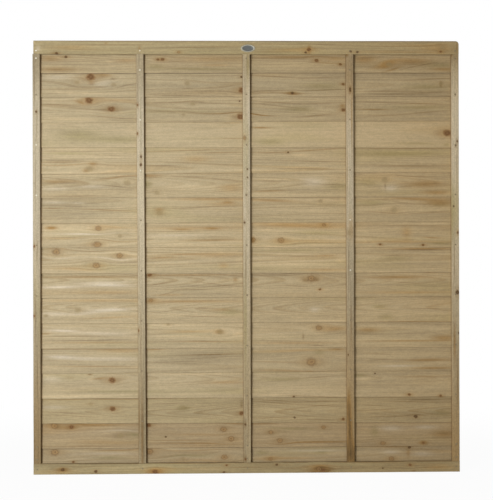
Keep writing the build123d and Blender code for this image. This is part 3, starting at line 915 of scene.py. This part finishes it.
railStreaks = {
    # the dark lines along the top edge, z 1852 and 1853, and at the right-hand end are painted shade on the
    # rounded edge
    "front_top_rail": {"dark": [(-650, 1853, 180, 2.2), (-250, 1853, 120, 2.2), (150, 1853, 150, 2.2),
        (650, 1852, 200, 2.2), (-820, 1800, 30, 3), (-480, 1836, 120, 2.2), (-150, 1827, 160, 2.2, 1),
        (300, 1838, 150, 2.2, -1), (700, 1832, 140, 2.2, 1), (-700, 1815, 130, 2.2, -1), (100, 1806, 100, 2.2),
        (600, 1812, 120, 2.2), (906, 1830, 3, 25)], "brown": [(270, 1818, 7, 14), (650, 1806, 200, 2.2),
        (-458, 1820, 5, 12), (-600, 1843, 7, 4)], "tan": [(-750, 1825, 90, 8), (820, 1820, 80, 16),
        (200, 1815, 100, 8)], "pale": [(-600, 1828, 120, 5), (-200, 1840, 140, 5), (450, 1842, 140, 4),
        (640, 1842, 120, 4)], "chalk": [(-890, 1820, 10, 12)]},
    # the dark lines at z 44.5 and 45 are painted shadow along the top edge, under the board above
    "front_bottom_rail": {"shaded": [(600, 20, 300, 60)], "dark": [(-450, 44.5, 450, 2), (450, 44.5, 450, 2),
        (-450, 45, 450, 1.5), (450, 45, 450, 1.5), (325, 13, 120, 2.2, 4), (-300, 20, 150, 2.2),
        (-700, 32, 150, 2.2), (700, 20, 150, 2.2, 1), (0, 25, 150, 2.2)], "brown": [(-790, 21, 26, 5),
        (-395, 9, 35, 5), (310, 14, 40, 6), (715, 5, 10, 4)], "tan": [(-380, 14, 70, 8), (300, 22, 90, 8),
        (-800, 15, 60, 8), (820, 20, 60, 10)], "pale": [(-550, 28, 140, 5), (-180, 18, 100, 5),
        (500, 32, 120, 5), (-880, 25, 30, 10)]},
}


def railOutline(height, depth, topRound):
    # across is up and down, out is away from the boards
    arris, top, face = railShape["arris"], height / 2 - topRound, depth / 2 - topRound
    front = rows(-height / 2 + arris, top, railShape["step"], endRow["section"])
    bend = [math.radians(angle) for angle in (22.5, 45.0, 67.5)]
    points = [(-height / 2, depth / 2 - arris)] + [(across, depth / 2) for across in front]
    points += [(top + topRound * math.sin(angle), face + topRound * math.cos(angle)) for angle in bend]
    points.append((height / 2, face))
    back = np.linspace(height / 2, -height / 2, len(points))
    return np.array(points + [(across, -depth / 2) for across in back])


def rail(side, level):
    node = f"{side}_{level}_rail"
    low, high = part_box(node)
    middle, facing, corner = (low + high) / 2, outwards(side), railShape["corner"]
    length, height, depth = high.x - low.x, high.z - low.z, high.y - low.y
    outline = railOutline(height, depth, railShape["round"][level])
    roundEnd = length / 2 - corner * (1 - np.cos(np.linspace(0, math.pi / 2, 8)))
    stations = stationsOf(length, railShape["stride"], roundEnd)
    seed = 200 + len(node) + facing * 5
    along, across, out = places = lengthwise(stations, outline)
    across, out = roughened(places, outline, railShape, seed)
    if level == "top":
        intoCorner = np.clip(along - (length / 2 - corner), 0, corner)
        drop = corner - np.sqrt(corner**2 - intoCorner**2)
        across = np.minimum(across, height / 2 - drop)
    sections = np.stack([middle.x + along, middle.y + facing * out, middle.z + across], axis=-1)
    axes = grainAxes(middle, (1, 0, 0), (0, 0, 1))
    look = {**railLook, "seed": seed % 41, "tone": railTones[level]}
    knots, streaks = [marksOf(table.get(node, {})) for table in (railKnots, railStreaks)]
    sweep(node, sections, timber(node, axes, look, knots, streaks))


# Nails

nailShape = {
    "headRadius": 0.0033,
    "headThickness": 0.0011,
    "shankSide": 0.0026,
    "pointLength": 0.004,
    "pointSide": 0.0004,
    "sides": 24,
    "middle": 0.00012,  # depth of the domed head's middle, then share of the radius and depth of each ring
    "dome": ((0.35, 0.0), (0.75, 0.00008), (0.93, 0.00028), (1.0, 0.0006), (1.0, 0.00105), (0.9, 0.0011)),
}

# nails painted near white, a painted glint, near these places
glintNails = [(-0.90, 1.779), (-0.90, 1.408), (-0.90, 1.193), (-0.46, 1.724), (-0.46, 1.510), (-0.46, 1.297),
               (0.44, 1.083), (0.44, 0.870), (-0.90, 1.811), (-0.46, 1.811)]


def glints(x, z):
    return any(abs(x - a) < 0.03 and abs(z - b) < 0.03 for a, b in glintNails)


def nailPlaces(node):
    # the middle of each nail head, from the foremost points of the frame's nails
    points = framePoints(node)
    groups = []
    for head in points[points[:, 1] < points[:, 1].min() + 0.0002]:
        near = [group for group in groups if np.abs(group[0] - head)[[0, 2]].max() < 0.01]
        if near:
            near[0].append(head)
        else:
            groups.append([head])
    return [tuple(np.mean(group, axis=0)[[0, 2]]) for group in groups]


def nailSteel(name, colour, worn, roughness, metallic):
    g = Graph(bpy.data.materials.new(name))
    spots = g.noise(g.place(), (900.0, 900.0), 3.0)
    worn = g.mix(g.between(spots, 0.42, 0.62), colour, worn)
    return g.finish(worn, roughness + (spots - 0.5) * 0.3, g.bump(spots, 0.0002, 0.5), metallic)


def nails(node, places):
    low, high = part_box(node)
    sides, half, length = nailShape["sides"], nailShape["shankSide"] / 2, high.y - low.y
    shank = [(nailShape["headThickness"], half), (length - nailShape["pointLength"], half)]
    shank.append((length, nailShape["pointSide"] / 2))
    angles = np.linspace(0, 2 * math.pi, sides, endpoint=False)
    points, faces, materialOfFace = [], [], []
    for x, z in places:
        firstRing, before = len(points) + 1, len(faces)
        points.append((x, low.y + nailShape["middle"], z))
        faces += [(firstRing - 1, firstRing + (i + 1) % sides, firstRing + i) for i in range(sides)]
        for share, depth in nailShape["dome"]:
            radius = nailShape["headRadius"] * share
            points += [(x + radius * math.cos(a), low.y + depth, z + radius * math.sin(a)) for a in angles]
        for ring in range(firstRing, len(points) - sides, sides):
            faces += band(ring, ring + sides, sides)
        first = len(points)
        faces.append(tuple(range(first - sides, first)))
        for depth, side in shank:
            points += [(x + side * a, low.y + depth, z + side * b) for a, b in squareCorners]
        faces += band(first, first + 4, 4) + band(first + 4, first + 8, 4)
        faces += [tuple(range(end, end + 4)) for end in (first, first + 8)]
        materialOfFace += [0 if glints(x, z) else 1] * (len(faces) - before)
    materials = [
        # the first steel is near white: a painted glint on the heads that catch the light
        nailSteel(f"{camel(node)}Glint", paint(236, 232, 214), paint(190, 184, 160), 0.5, 0.1),
        nailSteel(f"{camel(node)}Dull", paint(150, 138, 110), paint(118, 102, 76), 0.7, 0.2),
    ]
    dress(node, points, faces, materials, materialOfFace)


# Oval name plate, left bare

plateShape = {
    "field": (0.0235, 0.012),  # half sizes of the sunk field
    "fieldDepth": 0.0009,
    "bevel": 0.0009,
    "points": 96,
}


def namePlate():
    low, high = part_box("name_plate")
    middle, top = (low + high) / 2, low.y
    half = Vector(((high.x - low.x) / 2, (high.z - low.z) / 2))
    field = Vector(plateShape["field"])
    bevel, deep, count = plateShape["bevel"], plateShape["fieldDepth"], plateShape["points"]
    # each ring of points: half length and width, how much wider than that, and y
    rim = [
        (half, 0.0, high.y),
        (half, 0.0, top + bevel),
        (half, -bevel * 0.45, top + bevel * 0.42),
        (half, -bevel, top + bevel * 0.12),
        (half, -bevel * 2.2, top),
        (field, 0.0022, top + bevel * 0.1),
        (field, 0.0004, top + bevel * 0.35),
        (field, 0.0, top + deep * 0.8),
    ]
    sunk = [(field, -0.0006, top + deep), (field * 0.5, 0.0, top + deep * 0.93)]
    angles = np.linspace(0, 2 * math.pi, count, endpoint=False)
    points, faces = [], []
    for size, wider, y in rim + sunk:
        size = size + Vector((wider, wider))
        points += [(middle.x + size.x * math.cos(a), y, middle.z + size.y * math.sin(a)) for a in angles]
    last = len(points) - count
    for start in range(0, last, count):
        faces += band(start, start + count, count)
    faces += [tuple(range(count))[::-1], tuple(range(last, last + count))]
    materialOfFace = [0] * (len(rim) - 1) * count + [1] * len(sunk) * count + [0, 1]
    materials = [rimMetal(), fieldEnamel()]
    dress("name_plate", points, faces, materials, materialOfFace, sharpAngle=60.0)


def rimMetal():
    g = Graph(bpy.data.materials.new("plateRim"))
    rub = g.noise(g.place(), (260.0, 1400.0))
    return g.finish(paint(150, 146, 130), 0.4 + rub * 0.2, g.bump(rub, 0.0001, 0.2), metallic=0.7)


def fieldEnamel():
    g = Graph(bpy.data.materials.new("plateField"))
    flake = g.noise(g.place(), (700.0, 700.0))
    colour = g.mix(flake, paint(74, 76, 76), paint(98, 100, 96))
    return g.finish(colour, 0.3 + flake * 0.1, metallic=0.2, coat=0.3)


# Floor, backdrop, lamps and camera

white = (1.0, 1.0, 1.0, 1.0)

studio = {
    "floorShade": paint(244, 244, 242),
    "floorReach": 30.0,
    "whiteShare": 0.96,  # of the floor close to the panel, as the camera sees it; all of it further off
    "whiteFrom": 0.5,
    "whiteAt": 2.2,
    "fillStrength": 0.21,
    "fillColour": (1.0, 0.94, 0.84, 1.0),
}

lamps = {  # place, aim, size and watts
    "keyLamp": ((-2.0, -4.3, 1.25), (-0.2, 0.0, 1.0), 1.5, 133.0),
    "nearLamp": ((-1.5, -1.7, 1.1), (-0.8, 0.0, 1.0), 1.0, 4.2),
}

cameraSet = {
    "place": (-0.11676, -5.0, 0.95716),
    "turnRight": 0.02306,
    "roll": -0.0028,
    "lens": 83.63,
    "sensor": 36.0,
}


def placed(name, data):
    made = bpy.data.objects.new(name, data)
    bpy.context.scene.collection.objects.link(made)
    return made


def seenWhite(g):
    # 1 where the camera, a reflection or glass looks at it
    path = g.node("ShaderNodeLightPath", out="Is Camera Ray")
    seen = g.maths("MAXIMUM", path, path.side("Is Glossy Ray"))
    return g.maths("MAXIMUM", seen, path.side("Is Transmission Ray"))


def floor():
    g = Graph(bpy.data.materials.new("paleFloor"))
    plain = g.node("ShaderNodeBsdfDiffuse", None, {"Color": studio["floorShade"]})
    shining = g.node("ShaderNodeEmission", None, {"Color": white, "Strength": 1.0})
    away = g.length(g.mapping("POINT", g.place(), scale=(0.5, 1.0, 1.0)))
    faded = g.between(away, studio["whiteFrom"], studio["whiteAt"])
    share = seenWhite(g) * (studio["whiteShare"] + faded * (1.0 - studio["whiteShare"]))
    g.output("ShaderNodeOutputMaterial", g.node("ShaderNodeMixShader", None, {0: share, 1: plain, 2: shining}))
    mesh = bpy.data.meshes.new("studioFloor")
    reach = studio["floorReach"]
    corners = [(x * reach, y * reach, 0) for x, y in squareCorners]
    mesh.from_pydata(corners, [], [(0, 1, 2, 3)])
    mesh.materials.append(g.owner)
    placed("studioFloor", mesh)


def world():
    g = Graph(bpy.data.worlds.new("studio"))
    bpy.context.scene.world = g.owner
    seen = seenWhite(g)
    strength = g.maths("MAXIMUM", seen, studio["fillStrength"])
    colour = g.mix(seen, studio["fillColour"], white)
    light = g.node("ShaderNodeBackground", None, {"Color": colour, "Strength": strength})
    g.output("ShaderNodeOutputWorld", light)


def lamp(name, place, aim, size, watts):
    data = bpy.data.lights.new(name, "AREA")
    data.shape, data.size, data.energy = "DISK", size, watts
    made = placed(name, data)
    made.location = place
    made.rotation_euler = (Vector(aim) - Vector(place)).to_track_quat("-Z", "Y").to_euler()


def camera():
    data = bpy.data.cameras.new("camera")
    data.sensor_width, data.lens = cameraSet["sensor"], cameraSet["lens"]
    made = placed("camera", data)
    turn = Matrix.Rotation(-cameraSet["turnRight"], 4, "Z") @ Matrix.Rotation(math.pi / 2, 4, "X")
    roll = Matrix.Rotation(cameraSet["roll"], 4, "Z")
    made.matrix_world = Matrix.Translation(cameraSet["place"]) @ turn @ roll
    bpy.context.scene.camera = made


# Build

battenNails = nailPlaces("batten_nails")

for number in range(1, boardShape["count"] + 1):
    lapBoard(number)
print("lap boards done")

for side in ("front", "back"):
    for number in range(1, battenShape["count"] + 1):
        batten(side, number, battenNails)
    for level in ("top", "bottom"):
        rail(side, level)
print("battens and rails done")

nails("batten_nails", battenNails)
nails("rail_nails", nailPlaces("rail_nails"))
namePlate()
print("nails and name plate done")

floor()
world()
for name, settings in lamps.items():
    lamp(name, *settings)
camera()
bpy.context.scene.view_settings.view_transform = "Standard"
print("floor, lamps and camera done")
